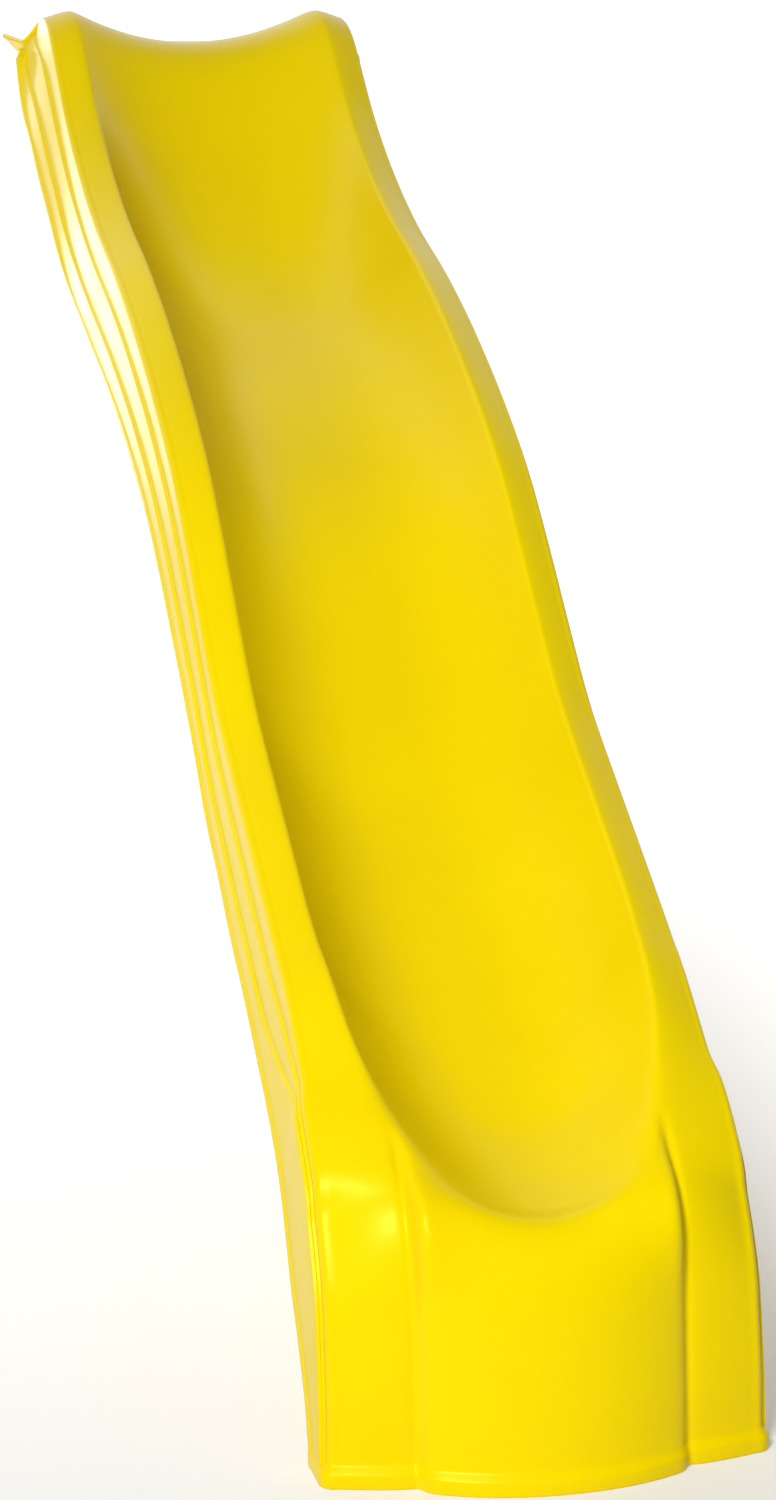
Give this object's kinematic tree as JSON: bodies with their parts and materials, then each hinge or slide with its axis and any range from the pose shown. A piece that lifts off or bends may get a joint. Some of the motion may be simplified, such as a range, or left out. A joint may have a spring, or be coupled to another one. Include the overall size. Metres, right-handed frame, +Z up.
{
  "type": "wave slide",
  "caption": "One-piece moulded playground slide with a waved trough, side rails, a rounded exit on a wide foot, a deck flange and ground anchors.",
  "frame": {"origin": "on the ground under the middle of the object's box", "axes": "+Z up, +Y from the foot towards the deck, +X to the right of a person who stands in front of the foot"},
  "size_m": [0.578, 2.4841, 1.5854],
  "materials": {
    "moulding": "glossy yellow polyethylene with a fine moulded texture",
    "zinc_steel": "zinc-plated steel, satin",
    "cap_plastic": "satin yellow plastic",
    "insert_brass": "turned brass"
  },
  "bodies": {
    "root": {"slide_body": "moulding", "flange_strip": "zinc_steel", "deck_screws": "zinc_steel", "deck_washers": "zinc_steel", "screw_caps": "cap_plastic", "left_anchor_plate": "zinc_steel", "right_anchor_plate": "zinc_steel", "anchor_inserts": "insert_brass", "anchor_bolts": "zinc_steel", "anchor_washers": "zinc_steel"}
  },
  "joints": []
}
